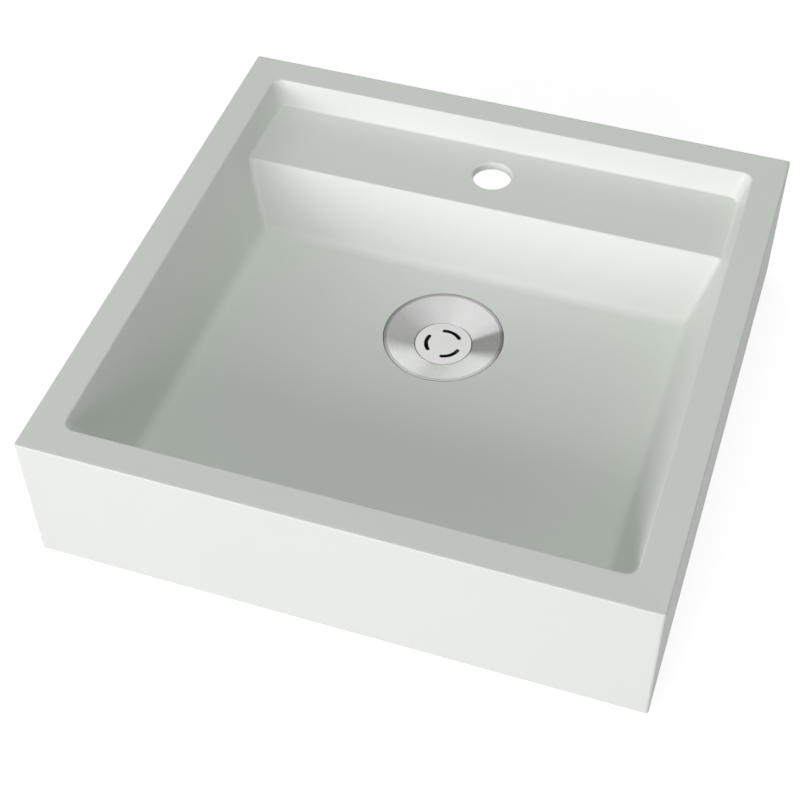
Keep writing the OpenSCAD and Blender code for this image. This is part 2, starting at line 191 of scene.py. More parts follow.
def join_rings(a, b):
    """Triangles between two closed rings of points round the origin, with different counts: each step along
    one ring is joined to the point of the other ring that lies just before it, by angle."""
    angle_a, angle_b = np.arctan2(a[:, 1], a[:, 0]), np.arctan2(b[:, 1], b[:, 0])
    order_a, order_b = np.argsort(angle_a), np.argsort(angle_b)
    angle_a, angle_b = angle_a[order_a], angle_b[order_b]
    n, m = len(a), len(b)
    i, j = np.arange(n), np.arange(m)
    near_b = (np.searchsorted(angle_b, angle_a, "right") - 1) % m
    near_a = (np.searchsorted(angle_a, angle_b, "left") - 1) % n
    steps_a = np.stack([order_a[i - 1], order_a[i], n + order_b[near_b]], 1)
    steps_b = np.stack([n + order_b[j - 1], n + order_b[j], order_a[near_a]], 1)
    return np.concatenate([a, b]), np.concatenate([steps_a, steps_b])


# %% [markdown]
# ## The basin's upper side
# The real basin is cast in a mould, so its walls lean, and every edge and foot is rounded. The bowl
# could be lofted through outlines, but then the tap deck would have to be cut in. It is simpler to ask,
# for each point of the plan, how high the surface is there. A wall's outline grows with its height, so
# halving an interval of heights finds the level at which the outline passes through the point. The
# bowl's height and the deck's height are worked out apart, and the lower one is the surface.

# %% The wall's profile and the plan's outline
BOWL_FOOT_Z = FLOOR_EDGE_Z + FOOT_R * (1 - np.sin(WALL_LEAN))
LEAST_BOWL_R, LEAST_DECK_R = 0.5, 1.0
FAR_FRONT = -900.0
HALVINGS = 34


def wall_in(z, top, lean, bottom, foot):
    """How far a wall stands in from its top edge at height z: a round lip, a leaning wall, a round foot.
    The lip is tighter than the solid's, so it starts further in, where the same wall touches it."""
    sine, cosine, slope = np.sin(lean), np.cos(lean), np.tan(lean)
    start = (SOLID_LIP_R - LIP_R) * (cosine - (1 - sine) * slope)
    lip_z, foot_z = top - LIP_R * (1 - sine), bottom + foot * (1 - sine)
    lip = start + np.sqrt(np.clip(LIP_R**2 - (z - top + LIP_R) ** 2, 0, None))
    wall = start + LIP_R * cosine + (lip_z - z) * slope
    round_foot = start + LIP_R * cosine + (lip_z - foot_z) * slope + foot * cosine
    round_foot = round_foot - np.sqrt(np.clip(foot**2 - (bottom + foot - z) ** 2, 0, None))
    return np.where(z >= top, 0, np.where(z > lip_z, lip, np.where(z > foot_z, wall, round_foot)))


def outside(x, y, half_x, front, back, r):
    """Distance from an outline with round corners, which is negative inside it."""
    dx = np.abs(x) - (half_x - r)
    dy = np.abs(y - (front + back) / 2) - ((back - front) / 2 - r)
    return np.hypot(np.maximum(dx, 0), np.maximum(dy, 0)) + np.minimum(np.maximum(dx, dy), 0) - r


def bowl_gap(x, y, z):
    """How far a point lies outside the bowl's outline at height z. Down the wall, the front corners' radius
    grows and the back corners' stays; in the round foot, both shrink to the floor's corners."""
    side = wall_in(z, RIM_Z, WALL_LEAN, FLOOR_EDGE_Z, FOOT_R)
    back = DECK_FRONT - wall_in(z, DECK_Z, BACK_LEAN, FLOOR_EDGE_Z, FOOT_R)
    foot_reach = FOOT_R * np.cos(WALL_LEAN)
    wall_r = FLOOR_CORNER_R + foot_reach
    at_foot = wall_in(BOWL_FOOT_Z, RIM_Z, WALL_LEAN, FLOOR_EDGE_Z, FOOT_R)
    in_foot = np.where(z < BOWL_FOOT_Z, side - at_foot, 0)
    down = np.clip((RIM_Z - z) / (RIM_Z - BOWL_FOOT_Z), 0, 1)
    front_r = np.where(z < BOWL_FOOT_Z, wall_r - in_foot, CORNER_R + (wall_r - CORNER_R) * down)
    back_r = BACK_CORNER_R - (BACK_CORNER_R - FLOOR_CORNER_R) * (in_foot / foot_reach)
    r = np.where(y > 0, back_r, np.maximum(front_r, LEAST_BOWL_R))
    return outside(x, y, INNER - side, side - INNER, back, r)


def deck_gap(x, y, z):
    """How far a point lies outside the outline of the recess over the tap deck at height z."""
    side = wall_in(z, RIM_Z, WALL_LEAN, DECK_Z, DECK_FOOT)
    wall = wall_in(np.maximum(z, DECK_Z + DECK_FOOT), RIM_Z, WALL_LEAN, DECK_Z, 0.0)
    r = np.maximum(CORNER_R - (side - wall), LEAST_DECK_R)
    return outside(x, y, INNER - side, FAR_FRONT, INNER - side, r)


def level_of(gap, x, y, low, high):
    """Height at which an outline that grows upwards passes through a point, by halving the interval."""
    low, high = np.full_like(x, low), np.full_like(x, high)
    for _ in range(HALVINGS):
        middle = (low + high) / 2
        inside = gap(x, y, middle) < 0
        low, high = np.where(inside, low, middle), np.where(inside, middle, high)
    return (low + high) / 2


print("the bowl's walls reach down to", round(BOWL_FOOT_Z, 2), "mm, where their round foot starts")

# %% [markdown]
# Water must run off, so the floor falls to the drain from all sides, its edge is lower at the back than
# at the front, and the rim falls a little inwards. These falls are added to the bowl's height.

# %% The floor's fall and the whole upper side
FLOOR_X = INNER - float(wall_in(FLOOR_EDGE_Z, RIM_Z, WALL_LEAN, FLOOR_EDGE_Z, FOOT_R))
FLOOR_BACK = DECK_FRONT - float(wall_in(FLOOR_EDGE_Z, DECK_Z, BACK_LEAN, FLOOR_EDGE_Z, FOOT_R))
RIM_FALL, RIM_FADE = 0.45, 15
EDGE_R = 1.2
PLAN_R = 2.5
BORDER = HALF - EDGE_R


def from_front(y):
    """Share of the way from the floor's front edge to its back edge."""
    return np.clip((y + FLOOR_X) / (FLOOR_BACK + FLOOR_X), 0, 1)


def floor_height(x, y):
    """The floor rises from the flat ring round the drain to its edge, along rays from the drain's middle.
    The share of the rise is the fourth root of the sum of both distances' fourth powers, so its level
    lines are squares with round corners."""
    reach = np.where(y > DRAIN_Y, FLOOR_BACK - DRAIN_Y, DRAIN_Y + FLOOR_X)
    dx, dy = np.abs(x) / FLOOR_X, np.abs(y - DRAIN_Y) / reach
    share = (dx**4 + dy**4) ** 0.25
    ring = share * (REBATE_R + 1) / np.maximum(np.hypot(x, y - DRAIN_Y), 1e-6)
    share = np.clip((share - ring) / np.maximum(1 - ring, 1e-6), 0, 1)
    edge = FLOOR_EDGE_Z - FLOOR_TIP * from_front(y)
    return FLOOR_Z + (edge - FLOOR_Z) * share


def upper_side(x, y):
    """Height of the basin's upper side: the lower of the bowl and the deck, with the rim falling inwards."""
    bowl = level_of(bowl_gap, x, y, FLOOR_EDGE_Z, RIM_Z)
    foot = np.clip((BOWL_FOOT_Z - bowl) / (BOWL_FOOT_Z - FLOOR_EDGE_Z), 0, 1)
    on_floor = bowl_gap(x, y, np.full_like(x, FLOOR_EDGE_Z)) < 0
    bowl = np.where(on_floor, floor_height(x, y), bowl - FLOOR_TIP * foot * from_front(y))
    deck = level_of(deck_gap, x, y, DECK_Z, RIM_Z)
    z = np.minimum(bowl, np.where(y > DECK_FRONT - FOOT_R, deck, RIM_Z))
    from_middle = np.maximum(np.abs(x), np.abs(y))
    in_from_edge = np.clip((HALF - PLAN_R - from_middle) / (HALF - PLAN_R - INNER), 0, 1)
    return z - RIM_FALL * in_from_edge * np.clip((z - RIM_Z + RIM_FADE) / RIM_FADE, 0, 1)


print("floor:", round(2 * FLOOR_X, 1), "mm wide, and back to", round(FLOOR_BACK, 1), "mm")

# %% [markdown]
# ## Lines of the grid
# A grid of even squares would waste faces on the flat rim and still be too coarse for the small lip.
# The lines are packed where the surface turns, and run through the sides of two square windows,
# round the tap hole and the drain. In each window the square is joined to the hole's circle.

# %% Lines, packed where the surface turns
DRAIN_WINDOW, TAP_WINDOW = 58.0, 23.0
WALL_START = 186


def lines(*spans):
    """Positions along an axis from spans of (start, end, step), each divided evenly."""
    runs = [np.linspace(a, b, max(int(round(abs(b - a) / s)), 1) + 1) for a, b, s in spans]
    return np.unique(np.round(np.concatenate(runs), 6))


corner_steps = HALF - PLAN_R + (PLAN_R - EDGE_R) * np.sin(np.radians([0, 15, 30]))
lip_spans = [(221.4, 224.4, 0.25), (224.4, 246.4, 2.3)]
half_x = lines((0, TAP_WINDOW, 2.3), (TAP_WINDOW, DRAIN_WINDOW, 3.5), (DRAIN_WINDOW, WALL_START, 8),
               (WALL_START, 210, 0.9), (210, 221.4, 0.45), *lip_spans)
half_x = np.concatenate([half_x, corner_steps, [BORDER]])
mirrored = -half_x[:0:-1]
line_x = np.concatenate([mirrored, half_x])
drain_front, drain_back = DRAIN_Y - DRAIN_WINDOW, DRAIN_Y + DRAIN_WINDOW
tap_front, tap_back = TAP_Y - TAP_WINDOW, TAP_Y + TAP_WINDOW
line_y = np.concatenate([
    mirrored[mirrored <= -WALL_START],
    lines((-185, drain_front, 6.5), (drain_front, drain_back, 3.4), (drain_back, 100, 1.5), (100, 124, 0.9),
          (124, 134.6, 0.5), (134.6, 138.2, 0.25), (138.2, tap_front, 2.6), (tap_front, tap_back, 2.3),
          (tap_back, 210, 2)),
    lines((210.45, 221.4, 0.45), *lip_spans), corner_steps, [BORDER]])
line_y = np.unique(np.round(line_y, 6))
print("lines:", len(line_x), "by", len(line_y))

# %% [markdown]
# The upper side's grid ends just inside the outer edge. Its border points then start the skirt: each
# moves out along the outline's normal by the sine of an angle and down by one less its cosine,
# which rounds the edge, and then straight down to the base.

# %% Upper side, windows and skirt
STRAIGHT, CORNER_BEND = HALF - PLAN_R, PLAN_R - EDGE_R
SKIRT_ROWS = [RIM_Z - 3, 105, 75, 45, 15, 3]


def bent(along):
    """How far the round corner stands out past the straight sides, at a distance along from its start."""
    return np.sqrt(np.maximum(CORNER_BEND**2 - np.maximum(along, 0) ** 2, 0))


grid_x, grid_y = np.meshgrid(line_x, line_y)
near_x, near_y = np.abs(grid_x) - STRAIGHT, np.abs(grid_y) - STRAIGHT
on_row, on_col = near_y > CORNER_BEND - 1e-6, near_x > CORNER_BEND - 1e-6
diagonal = STRAIGHT + CORNER_BEND * np.sqrt(0.5)
plan_x = np.where(on_col, np.sign(grid_x) * (STRAIGHT + bent(near_y)), grid_x)
plan_y = np.where(on_row, np.sign(grid_y) * (STRAIGHT + bent(near_x)), grid_y)
plan_x = np.where(on_col & on_row, np.sign(grid_x) * diagonal, plan_x)
plan_y = np.where(on_col & on_row, np.sign(grid_y) * diagonal, plan_y)
top = np.stack([plan_x, plan_y, upper_side(plan_x, plan_y)], -1)


def without(grid, xs, ys, low, high):
    """The grid as strips that leave out a square window; low and high are its corners."""
    x0, x1 = np.searchsorted(xs, [low[0] - 1e-3, high[0] - 1e-3])
    y0, y1 = np.searchsorted(ys, [low[1] - 1e-3, high[1] - 1e-3])
    return [grid[y0 : y1 + 1, : x0 + 1], grid[y0 : y1 + 1, x1:]], (x0, x1, y0, y1)


def square_ring(grid, x0, x1, y0, y1):
    """The points on the four sides of a window, in order, with the first one again at the end."""
    sides = [grid[y0, x0:x1], grid[y0:y1, x1], grid[y1, x1:x0:-1], grid[y1:y0:-1, x0]]
    return np.concatenate([*sides, grid[y0 : y0 + 1, x0]])


drain, tap = np.array([0.0, DRAIN_Y]), np.array([0.0, TAP_Y])
drain_sides, drain_cut = without(top, line_x, line_y, drain - DRAIN_WINDOW, drain + DRAIN_WINDOW)
tap_sides, tap_cut = without(top, line_x, line_y, tap - TAP_WINDOW, tap + TAP_WINDOW)
strips = [top[: drain_cut[2] + 1], *drain_sides, top[drain_cut[3] : tap_cut[2] + 1],
          *tap_sides, top[tap_cut[3] :]]
drain_square, tap_square = square_ring(top, *drain_cut), square_ring(top, *tap_cut)

rim_ring = square_ring(top, 0, len(line_x) - 1, 0, len(line_y) - 1)
normal = np.sign(rim_ring[:, :2]) * np.maximum(np.abs(rim_ring[:, :2]) - STRAIGHT, 0)
normal /= np.linalg.norm(normal, axis=1, keepdims=True)
turn = np.radians(np.linspace(0, 90, 6))
skirt_out = np.concatenate([np.sin(turn), np.ones(len(SKIRT_ROWS)), np.sin(turn[::-1])]) * EDGE_R
skirt_z = np.concatenate([RIM_Z - EDGE_R * (1 - np.cos(turn)), SKIRT_ROWS, EDGE_R * (1 - np.cos(turn[::-1]))])
skirt = np.stack([np.column_stack([rim_ring[:, :2] + normal * out, np.full(len(rim_ring), z)])
                  for out, z in zip(skirt_out, skirt_z)])
print("skirt:", len(skirt), "rows of", len(rim_ring), "points")

# %% [markdown]
# ## The underside
# Below, the casting is hollow, which saves resin and gives room for pipes: shallow under the bowl,
# deep under the tap deck, with a thick boss round the drain. Each level is a flat patch between two
# curves, and a wall joins one level's outline to the next.

# %% Hollow, pocket and boss
BOSS_WINDOW, POCKET_WINDOW = 55.0, 20.0
POCKET_ROWS = (POCKET_Z, 90, 60, HOLLOW_Z + 3, HOLLOW_Z)
HOLLOW_ROWS = (HOLLOW_Z, HOLLOW_Z - 2, 2, 0)


def round_end(x):
    """How far the hollow's outline steps back at a point near its round corner."""
    over = np.clip(np.abs(x) - (HOLLOW - HOLLOW_R), 0, HOLLOW_R)
    return HOLLOW_R - np.sqrt(np.maximum(HOLLOW_R * HOLLOW_R - over**2, 0))


around = HOLLOW - HOLLOW_R + HOLLOW_R * np.sin(np.radians(np.linspace(0, 90, 10)))
under_half = lines((0, POCKET_WINDOW, 2.5), (POCKET_WINDOW, BOSS_WINDOW, 5),
                   (BOSS_WINDOW, HOLLOW - HOLLOW_R, 20))
under_half = np.unique(np.round(np.concatenate([under_half, around]), 6))
under_x = np.concatenate([-under_half[:0:-1], under_half])


def patch(front, back, marks, z):
    """A flat patch at height z over the lines of the underside, between a front and a back curve; marks are
    the places in Y at which its rows are straight."""
    front, back = front[None, :], back[None, :]
    rows = marks[:, None]
    share = (rows - rows[0]) / (rows[-1] - rows[0])
    y = np.clip(rows, front, back)
    ends = np.abs(under_x)[None, :] > HOLLOW - HOLLOW_R
    y = np.where(ends, front + (back - front) * share, y)
    return np.stack([np.broadcast_to(under_x, y.shape), y, np.full(y.shape, z)], -1)


def at_height(ring, z):
    """The same ring at another height."""
    return np.column_stack([ring[:, :2], np.full(len(ring), z)])


boss_front, boss_back = DRAIN_Y - BOSS_WINDOW, DRAIN_Y + BOSS_WINDOW
pocket_front, pocket_back = TAP_Y - POCKET_WINDOW, TAP_Y + POCKET_WINDOW
marks_low = lines((-HOLLOW, boss_front, 20), (boss_front, boss_back, 5), (boss_back, POCKET_FRONT, 15))
marks_high = lines((POCKET_FRONT, pocket_front, 5), (pocket_front, pocket_back, 2.5),
                   (pocket_back, HOLLOW, 5))
step_back = round_end(under_x)
low_level = patch(step_back - HOLLOW, POCKET_FRONT + step_back, marks_low, HOLLOW_Z)
high_level = patch(POCKET_FRONT + step_back, HOLLOW - step_back, marks_high, POCKET_Z)
last = len(under_x) - 1
pocket_ring = square_ring(high_level, 0, last, 0, len(marks_high) - 1)
pocket_wall = np.stack([at_height(pocket_ring, z) for z in POCKET_ROWS])
hollow_ring = np.concatenate([low_level[0, :last], low_level[:-1, last], high_level[:-1, last],
                              high_level[-1, last:0:-1], high_level[-1:0:-1, 0], low_level[-1:0:-1, 0]])
closed_hollow = np.concatenate([hollow_ring, hollow_ring[:1]])
hollow_wall = np.stack([at_height(closed_hollow, z) for z in HOLLOW_ROWS])

boss_sides, boss_cut = without(low_level, under_x, marks_low, drain - BOSS_WINDOW, drain + BOSS_WINDOW)
pocket_sides, pocket_cut = without(high_level, under_x, marks_high, tap - POCKET_WINDOW, tap + POCKET_WINDOW)
under = [low_level[: boss_cut[2] + 1], *boss_sides, low_level[boss_cut[3] :],
         high_level[: pocket_cut[2] + 1], *pocket_sides, high_level[pocket_cut[3] :]]
boss_square, pocket_square = square_ring(low_level, *boss_cut), square_ring(high_level, *pocket_cut)
print("underside:", len(under), "patches on", len(under_x), "lines")

# %% [markdown]
# The drain and the tap hole join the upper side to the underside. The windows above and below have
# different numbers of points, so the two halves of each hole meet in a joined pair of rings.

# %% The two holes
DRAIN_MEET_Z, TAP_MEET_Z = 24, 102
CONE_MIDDLE_R = 40
SOFT, SMALL_SOFT = 0.5, 0.3
BETWEEN = (0.35, 0.7)
TAP_CHAMFER = ((1.1, 0), (0.9, 0.04), (0.1, 0.86), (0, 1.1))


def seat_z(r):
    """Height of the drain's cone at a radius: it falls with the flange's dish."""
    return FLOOR_Z - np.maximum(0, DISH_R - r) * DISH_FALL - SEAT_V


def circles(square, centre, rows):
    """A circle for each (radius, height), with one point for each point of a window's sides, in the same
    direction from the centre."""
    away = square[:, :2] - centre
    away = away / np.linalg.norm(away, axis=1, keepdims=True)
    return [np.column_stack([centre + away * r, np.full(len(square), z)]) for r, z in rows]


def meet(a, b, centre):
    """Joined rings round a centre: the join is worked out round the origin and moved back."""
    middle = np.array([*centre, 0.0])
    points, triangles = join_rings(a[:-1] - middle, b[:-1] - middle)
    return points + middle, triangles


drain_top = [drain_square]
flat_ring = circles(drain_square, drain, [(REBATE_R + SMALL_SOFT, FLOOR_Z)])[0]
for share in BETWEEN:
    between = drain_square + (flat_ring - drain_square) * share
    drain_top.append(np.column_stack([between[:, :2], floor_height(between[:, 0], between[:, 1])]))
drain_top += circles(drain_square, drain, [
    (REBATE_R + SMALL_SOFT, FLOOR_Z), (REBATE_R, FLOOR_Z - SMALL_SOFT), (REBATE_R, FLOOR_Z - SEAT_V),
    (DISH_R, FLOOR_Z - SEAT_V), (CONE_MIDDLE_R, seat_z(CONE_MIDDLE_R)), (HOLE_R, seat_z(HOLE_R)),
    (HOLE_R, DRAIN_MEET_Z)])
drain_low = [boss_square, *circles(boss_square, drain, [
    (BOSS_R, HOLLOW_Z), (BOSS_R, HOLLOW_Z - 1), (BOSS_R, BOSS_Z + 1), (BOSS_R - SOFT, BOSS_Z),
    (HOLE_R + SOFT, BOSS_Z), (HOLE_R, BOSS_Z + SOFT), (HOLE_R, DRAIN_MEET_Z)])]
tap_top = [tap_square, *circles(tap_square, tap, [
    *[(TAP_R + out, DECK_Z - down) for out, down in TAP_CHAMFER], (TAP_R, TAP_MEET_Z)])]
tap_low = [pocket_square, *circles(pocket_square, tap, [
    (TAP_R + SOFT, POCKET_Z), (TAP_R, POCKET_Z + SOFT), (TAP_R, TAP_MEET_Z)])]
drain_top, drain_low, tap_top, tap_low = map(np.stack, (drain_top, drain_low, tap_top, tap_low))
joins = [meet(drain_top[-1], drain_low[-1], drain), meet(tap_top[-1], tap_low[-1], tap),
         join_rings(skirt[-1][:-1], hollow_ring * [1, 1, 0])]
casting = [*strips, skirt, *under, pocket_wall, hollow_wall, drain_top, drain_low, tap_top, tap_low]
basin = make_piece("basin_casting", casting, joins)

# %% [markdown]
# ## The notch behind the tap
# The photograph shows the white ground through the tap hole, so the back skirt is open there: the hoses
# leave through a notch. It crosses faces of two grids, so it is cut out with a Boolean, by a tool whose
# outline flares by a millimetre at both faces of the skirt, which rounds the notch's edges.

# %% Hose notch
NOTCH_HALF, NOTCH_Z, NOTCH_R, FLARE = 80.0, 76.0, 10.0, 1.0
TOOL_FOOT, TOOL_PAST = -5.0, 4


def notch_outline(grow):
    """The notch's outline in (x, z), grown by a distance: two uprights joined to a straight top by arcs."""
    rise = np.radians(np.linspace(0, 90, 9))
    r = NOTCH_R + grow
    right = np.column_stack([NOTCH_HALF - NOTCH_R + r * np.cos(rise), NOTCH_Z - NOTCH_R + r * np.sin(rise)])
    base = np.array([[NOTCH_HALF + grow, TOOL_FOOT]])
    return np.concatenate([base, right, (right * [-1, 1])[::-1], base * [-1, 1], base])


flare_turn = np.radians(np.linspace(0, 90, 5))
edge_in = [(FLARE * (1 - np.sin(a)), HOLLOW + FLARE * (1 - np.cos(a))) for a in flare_turn]
edge_out = [(FLARE * (1 - np.cos(a)), HALF - FLARE * (1 - np.sin(a))) for a in flare_turn]
tool_grid = []
for grow, y in [(FLARE, HOLLOW - TOOL_PAST), *edge_in, *edge_out, (FLARE, HALF + TOOL_PAST)]:
    outline = notch_outline(grow)
    tool_grid.append(np.column_stack([outline[:, 0], np.full(len(outline), y), outline[:, 1]]))
caps = [np.stack([row, np.broadcast_to(row[:-1].mean(0), row.shape)])
        for row in (tool_grid[0], tool_grid[-1])]
tool = make_piece("notch_tool", [np.stack(tool_grid), *caps], by_area=False)
cut = basin.modifiers.new("notch", "BOOLEAN")
cut.object, cut.operation, cut.solver = tool, "DIFFERENCE", "EXACT"
bpy.context.view_layer.update()
carved = bpy.data.meshes.new_from_object(basin.evaluated_get(bpy.context.evaluated_depsgraph_get()))
basin.modifiers.clear()
basin.data = carved
bpy.data.objects.remove(tool)
carved.shade_smooth()
flat_normals(carved)
check = bmesh.new()
check.from_mesh(carved)
print("carved faces:", len(check.faces), "open edges:", sum(not e.is_manifold for e in check.edges),
      "litres:", round(check.calc_volume() * 1000, 3))
check.free()
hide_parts("basin")
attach(basin, "basin_body")

# %% [markdown]
# ## The drain's flange
# The flange is pressed from steel sheet: a narrow flat lip, a dished cone and a cup with a drilled
# web. A profile turned round the drain's axis makes everything but the web. The turned brushing of
# the steel runs round the axis, so the map keeps the angle in its first number.

# %% Turned surfaces
TURNS = 144


def turned(profile, steps=TURNS):
    """A profile of (radius, height) pairs carried round the drain's axis, and its map: angle and length."""
    angle = np.linspace(0, 2 * np.pi, steps + 1)
    r, z = np.asarray(profile, float).T
    x, y = drain[0] + r[:, None] * np.cos(angle), drain[1] + r[:, None] * np.sin(angle)
    run = np.concatenate([[0], np.cumsum(np.hypot(np.diff(r), np.diff(z)))]) / 100
    grid = np.stack([x, y, np.broadcast_to(z[:, None], x.shape)], -1)
    return grid, np.stack(np.broadcast_arrays(angle / (2 * np.pi), run[:, None]), -1)


def rounded(points, r, steps=5):
    """A profile with its corners rounded: each corner gives way to a curve that starts and ends r from it."""
    p = np.asarray(points, float)
    runs = [p[:1]]
    for a, b, c in zip(p[:-2], p[1:-1], p[2:]):
        to_a, to_c = a - b, c - b
        reach_a, reach_c = np.linalg.norm(to_a), np.linalg.norm(to_c)
        back = min(r, reach_a * 0.45, reach_c * 0.45)
        t = np.linspace(0, 1, steps)[:, None]
        start, end = b + to_a / reach_a * back, b + to_c / reach_c * back
        runs.append((1 - t) ** 2 * start + 2 * t * (1 - t) * b + t**2 * end)
    return np.concatenate([*runs, p[-1:]])


def arc_points(r, start, end, count, centre=(0.0, 0.0)):
    """Points along an arc, from one angle to another in degrees."""
    a = np.radians(np.linspace(start, end, count))
    return np.column_stack([centre[0] + r * np.cos(a), centre[1] + r * np.sin(a)])


def loop_of(*runs):
    """One closed loop from runs of points that start where the last one ended."""
    return np.concatenate([*[r[:-1] for r in runs], runs[0][:1]])


def spun(points, degrees):
    """Points of a plan, turned round the origin."""
    c, s = np.cos(np.radians(degrees)), np.sin(np.radians(degrees))
    return points @ np.array([[c, s], [-s, c]])


def turn_about_drain(grid, degrees):
    """A copy of a grid, drawn round the origin, turned and moved to the drain's axis."""
    a = np.radians(degrees)
    x, y, z = np.moveaxis(grid, -1, 0)
    turned_x, turned_y = x * np.cos(a) - y * np.sin(a), x * np.sin(a) + y * np.cos(a)
    return np.stack([turned_x, turned_y + DRAIN_Y, z], -1)


print("turned surfaces have", TURNS, "steps round the axis")

# %% [markdown]
# The web closes the cup's foot and holds the screw. It has six holes for the water, so it is made as six
# equal sectors, each lofted from its own outline to its hole.

# %% Flange
CUP_OUT = CUP_R + SHEET
WEB_EDGE_R, SCREW_HOLE_R = CUP_R - 3, 3.3
WEB_HOLE_R, WEB_HOLE_AT, SPREAD_FROM = 4.5, 16, 15.5
SHEET_SOFT, HOLE_SOFT, SECTORS = 0.6, 0.12, 6


def sector_plate(loop, hole, heights):
    """A plate's sector with a hole: its outline and the hole's outline have the same number of points. The
    surface runs from the outline over the top to the hole, down the hole's wall and back below."""
    top_z, low_z = heights
    half = (loop + hole) / 2
    soft = loop + (hole - loop) * 0.97
    rows = [(loop, top_z), (half, top_z), (soft, top_z), (hole, top_z - HOLE_SOFT),
            (hole, low_z + HOLE_SOFT), (soft, low_z), (half, low_z), (loop, low_z)]
    return np.stack([np.column_stack([p, np.full(len(p), z)]) for p, z in rows])


under_cup = FLOOR_Z - (DISH_R - CUP_OUT) * DISH_FALL - SHEET_V
upper = rounded([(WEB_EDGE_R, WEB_Z), (CUP_R, WEB_Z), (CUP_R, COVER_Z), (DISH_R, FLOOR_Z),
                 (FLANGE_R, FLOOR_Z), (FLANGE_R, FLOOR_Z - SHEET_V)], SHEET_SOFT)
lower = rounded([(FLANGE_R, FLOOR_Z - SHEET_SOFT), (FLANGE_R, FLOOR_Z - SHEET_V), (DISH_R, FLOOR_Z - SHEET_V),
                 (CUP_OUT, under_cup), (CUP_OUT, WEB_Z - SHEET), (WEB_EDGE_R, WEB_Z - SHEET)], SHEET_SOFT)
flange_grid, flange_map = turned(np.concatenate([upper[:-1], lower[1:]]))
ray = np.linspace([WEB_EDGE_R, 0], [SCREW_HOLE_R, 0], 9)
web_loop = loop_of(arc_points(WEB_EDGE_R, -30, 30, TURNS // SECTORS + 1), spun(ray, 30),
                   arc_points(SCREW_HOLE_R, 30, -30, 5), spun(ray[::-1], -30))
spread = np.arctan2(web_loop[:, 1], web_loop[:, 0] - SPREAD_FROM)
web_hole = np.column_stack([WEB_HOLE_AT + WEB_HOLE_R * np.cos(spread), WEB_HOLE_R * np.sin(spread)])
sector = sector_plate(web_loop, web_hole, (WEB_Z, WEB_Z - SHEET))
web = [turn_about_drain(sector, 30 + 60 * k) for k in range(SECTORS)]
screw_hole, screw_hole_map = turned([(SCREW_HOLE_R, WEB_Z), (SCREW_HOLE_R, WEB_Z - SHEET)], 24)
flange_maps = [flange_map, *[np.zeros(sector[..., :2].shape)] * SECTORS, screw_hole_map]
flange = make_piece("drain_flange_steel", [flange_grid, *web, screw_hole], maps=flange_maps)
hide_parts("drain_flange")
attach(flange, "basin_body")

# %% [markdown]
# ## The strainer's plate
# The plate lifts out for cleaning. It is stamped with three curved slots that have round ends. Each third
# of it is lofted from its own outline to its slot, so that the faces follow both. The slot's edge is
# given by steps out from the slot and down from the plate's top.

# %% Strainer plate
PLATE_R, PLATE_T, PLATE_EDGE = 24.6, 1.5, 0.3
SLOT_R, SLOT_W, SLOT_HALF, SLOT_TURN = 15.0, 3.4, 31.0, 72.0
SLOT_EDGE = ((0.25, 0), (0.07, -0.08), (0, -0.25), (0, 0.1 - PLATE_T), (0.1, -PLATE_T))
THIRD, CAP, INNER_ARC = TURNS // 3, 10, 16


def slot_loop():
    """A slot's outline, walked as the plate's third is: outer arc, half circle, inner arc, half circle."""
    end = SLOT_R * np.array([np.cos(np.radians(SLOT_HALF)), np.sin(np.radians(SLOT_HALF))])
    half_w = SLOT_W / 2
    return loop_of(
        arc_points(SLOT_R + half_w, -SLOT_HALF, SLOT_HALF, THIRD + 1),
        arc_points(half_w, SLOT_HALF, SLOT_HALF + 180, CAP + 1, end),
        arc_points(SLOT_R - half_w, SLOT_HALF, -SLOT_HALF, INNER_ARC + 1),
        arc_points(half_w, 180 - SLOT_HALF, 360 - SLOT_HALF, CAP + 1, end * [1, -1]))


spoke = np.linspace([PLATE_R - PLATE_EDGE, 0], [0, 0], 19)
plate_loop = loop_of(arc_points(PLATE_R - PLATE_EDGE, -60, 60, THIRD + 1), spun(spoke, 60),
                     spun(spoke[::-1], -60))
slot_edge = slot_loop()
outwards = plate_loop - slot_edge
outwards /= np.maximum(np.linalg.norm(outwards, axis=1, keepdims=True), 1e-9)
plate_rows = [(plate_loop, 0), (plate_loop * 0.5 + slot_edge * 0.5, 0),
              *[(slot_edge + outwards * out, z) for out, z in SLOT_EDGE], (plate_loop, -PLATE_T)]
plate_rows = np.stack([np.column_stack([p, np.full(len(p), COVER_Z + z)]) for p, z in plate_rows])
thirds = [turn_about_drain(plate_rows, SLOT_TURN + 120 * k) for k in range(3)]
plate_side = [(PLATE_R - PLATE_EDGE * (1 - np.sin(a)), COVER_Z - PLATE_EDGE * (1 - np.cos(a)))
              for a in np.radians(np.linspace(0, 90, 5))]
plate_side += [(PLATE_R, COVER_Z - PLATE_T + 0.1), (PLATE_R - PLATE_EDGE, COVER_Z - PLATE_T)]
plate_rim, plate_rim_map = turned(plate_side)
plate_rim = turn_about_drain(plate_rim - [0, DRAIN_Y, 0], SLOT_TURN - 60)
plate_maps = [*[third[..., :2] / 100 for third in thirds], plate_rim_map]
plate = make_piece("strainer_plate", [*thirds, plate_rim], maps=plate_maps)
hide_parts("strainer_cover")
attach(plate, "strainer")

# %% [markdown]
# ## The clamping screw
# A socket-head screw pulls the flange and the waste body together through the basin's floor. Its thread
# is a true helix: the radius falls by a triangle wave whose phase goes with the height less the angle.
# The socket's rows give the hexagon's growth and its depth under the head's top.

